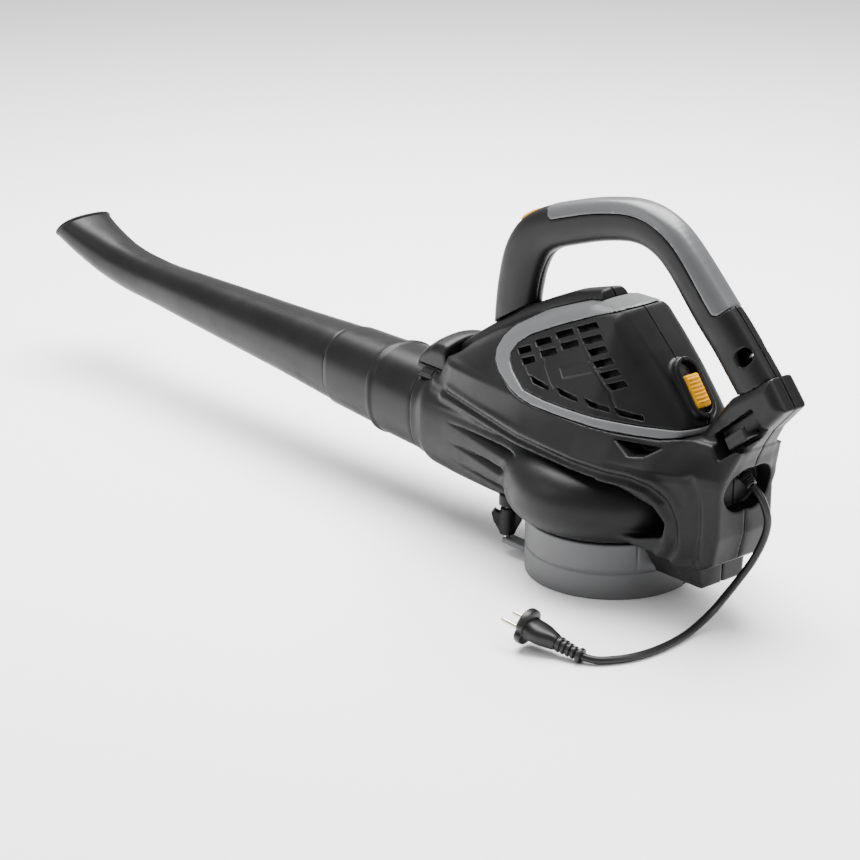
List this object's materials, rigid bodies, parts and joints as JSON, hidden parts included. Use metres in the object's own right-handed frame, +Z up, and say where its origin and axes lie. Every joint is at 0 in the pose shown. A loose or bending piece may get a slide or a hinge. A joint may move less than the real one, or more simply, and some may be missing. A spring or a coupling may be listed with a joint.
{
  "type": "leaf vacuum mulcher",
  "caption": "Mains leaf blower vacuum mulcher with a loop handle, vertical fan and motor, round intake ring, two-piece blower tube and short plug lead.",
  "frame": {"origin": "middle of the machine's footprint on the floor, without the mains lead", "axes": "+X forward, the way it blows; +Y the machine's left side; +Z up"},
  "size_m": [1.1922, 0.3191, 0.3847],
  "materials": {
    "shell_black": "fine textured moulded plastic with a soft sheen",
    "tube_black": "smooth satin moulded plastic",
    "trim_grey": "satin grey moulded plastic",
    "ring_grey": "satin grey moulded plastic",
    "grip_grey": "soft-touch grey over-moulding with a satin sheen",
    "control_yellow": "satin yellow-orange moulded plastic",
    "cable_rubber": "black rubber",
    "inner_plastic": "dark moulded plastic",
    "nylon_white": "natural nylon",
    "board_green": "solder-masked board",
    "steel": "bright turned steel",
    "laminations": "varnished steel laminations",
    "copper": null,
    "brass": "stamped brass",
    "carbon": null,
    "pin_metal": "nickel-plated contact pins"
  },
  "bodies": {
    "root": {"housing_left": "shell_black", "housing_right": "shell_black", "motor_cover_left": "shell_black", "motor_cover_right": "shell_black", "trim_frame": "trim_grey", "handle_left": "shell_black", "handle_right": "shell_black", "grip_insert": "grip_grey", "strap_pin": "steel", "thumb_microswitch": "inner_plastic", "switch_plate": "inner_plastic", "switch_body": "inner_plastic", "control_board": "board_green", "latch_hood": "shell_black", "ring_hinge_pin": "steel", "motor_plate": "inner_plastic", "motor_bracket": "inner_plastic", "lower_bearing": "steel", "upper_bearing": "steel", "stator_core": "laminations", "field_coil_left": "copper", "field_coil_right": "copper", "brush_holder_front": "brass", "brush_holder_rear": "brass", "brush_front": "carbon", "brush_rear": "carbon", "housing_screw_1": "steel", "housing_screw_2": "steel", "housing_screw_3": "steel", "cable_hook": "shell_black", "cable_gland": "cable_rubber", "cord": "cable_rubber", "plug_relief": "cable_rubber", "plug_body": "cable_rubber", "plug_pin_a": "pin_metal", "plug_pin_b": "pin_metal"},
    "thumb_button": {"thumb_button": "control_yellow"},
    "slide_switch": {"slide_switch": "control_yellow"},
    "tube_latch": {"latch_button": "shell_black"},
    "lower_tube": {"lower_tube": "tube_black"},
    "nozzle_tube": {"nozzle_tube": "tube_black"},
    "intake_ring": {"intake_ring": "ring_grey", "intake_grille": "inner_plastic"},
    "wing_knob": {"wing_knob": "shell_black", "knob_stud": "steel"},
    "rotor": {"rotor_shaft": "steel", "armature_core": "laminations", "commutator": "copper", "cooling_fan": "nylon_white", "impeller": "inner_plastic", "impeller_washer": "steel", "impeller_nut": "steel"}
  },
  "joints": [
    {"name": "rotor_spin", "type": "hinge", "parent": "root", "child": "rotor", "pos_m": [-0.36009, 0, 0.15], "axis": [0, 0, 1], "continuous": true},
    {"name": "intake_ring_hinge", "type": "hinge", "parent": "root", "child": "intake_ring", "pos_m": [-0.45809, 0, 0.045], "axis": [0, 1, 0], "range_deg": [0, 85]},
    {"name": "wing_knob_turn", "type": "hinge", "parent": "root", "child": "wing_knob", "pos_m": [-0.26409, 0.051, 0.035], "axis": [0, 0, 1], "continuous": true},
    {"name": "slide_switch_travel", "type": "slide", "parent": "root", "child": "slide_switch", "axis": [0.5962, 0, 0.8028], "range_m": [0, 0.01]},
    {"name": "thumb_button_press", "type": "slide", "parent": "root", "child": "thumb_button", "axis": [-0.515, 0, -0.8572], "range_m": [0, 0.003], "stiffness_N_per_m": 700},
    {"name": "tube_latch_press", "type": "slide", "parent": "root", "child": "tube_latch", "axis": [0, -0.6157, -0.788], "range_m": [0, 0.0025], "stiffness_N_per_m": 800},
    {"name": "lower_tube_pull", "type": "slide", "parent": "root", "child": "lower_tube", "axis": [0.9994, 0, 0.0355], "range_m": [0, 0.034]},
    {"name": "nozzle_tube_pull", "type": "slide", "parent": "lower_tube", "child": "nozzle_tube", "axis": [0.9994, 0, 0.0355], "range_m": [0, 0.028]}
  ]
}
